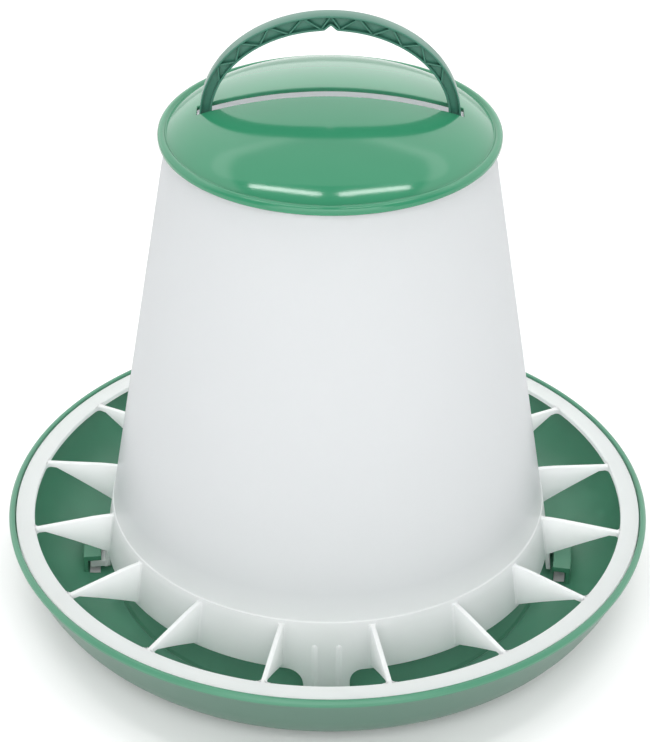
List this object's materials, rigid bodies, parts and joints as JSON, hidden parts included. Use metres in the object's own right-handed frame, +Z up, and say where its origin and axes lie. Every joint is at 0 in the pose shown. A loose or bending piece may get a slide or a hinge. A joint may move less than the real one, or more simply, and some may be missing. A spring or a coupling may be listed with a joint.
{
  "type": "poultry feeder",
  "caption": "Hanging or standing hopper feeder for poultry: dished feed pan, conical hopper with a feed-saver grill, slotted domed lid and arched carry handle.",
  "frame": {"origin": "centre of the ring that the pan stands on, on the floor plane", "axes": "+Z up along the hopper's axis; -Y is the front; the handle's arch and the lid's slot lie along X"},
  "size_m": [0.339, 0.339, 0.3228],
  "materials": {
    "pan_green": "injection-moulded green polypropylene, glossy inside and satin outside",
    "lid_green": "injection-moulded green polypropylene, glossy",
    "handle_green": "injection-moulded dark green polypropylene, satin",
    "milky_plastic": "natural milky polypropylene, slightly translucent, glossy above and matt round the grill"
  },
  "bodies": {
    "pan": {"feed_pan": "pan_green"},
    "hopper_unit": {"hopper": "milky_plastic", "anti_waste_ring": "milky_plastic", "divider_01": "milky_plastic", "divider_02": "milky_plastic", "divider_03": "milky_plastic", "divider_04": "milky_plastic", "divider_05": "milky_plastic", "divider_06": "milky_plastic", "divider_07": "milky_plastic", "divider_08": "milky_plastic", "divider_09": "milky_plastic", "divider_10": "milky_plastic", "divider_11": "milky_plastic", "divider_12": "milky_plastic", "divider_13": "milky_plastic", "divider_14": "milky_plastic", "divider_15": "milky_plastic", "divider_16": "milky_plastic", "carry_handle": "handle_green"},
    "lid": {"lid": "lid_green"}
  },
  "joints": [
    {"name": "hopper_twist", "type": "hinge", "parent": "pan", "child": "hopper_unit", "pos_m": [0, 0, 0], "axis": [0, 0, 1], "range_deg": [0, 10]},
    {"name": "lid_lift", "type": "slide", "parent": "hopper_unit", "child": "lid", "axis": [0, 0, 1], "range_m": [0, 0.08]}
  ]
}
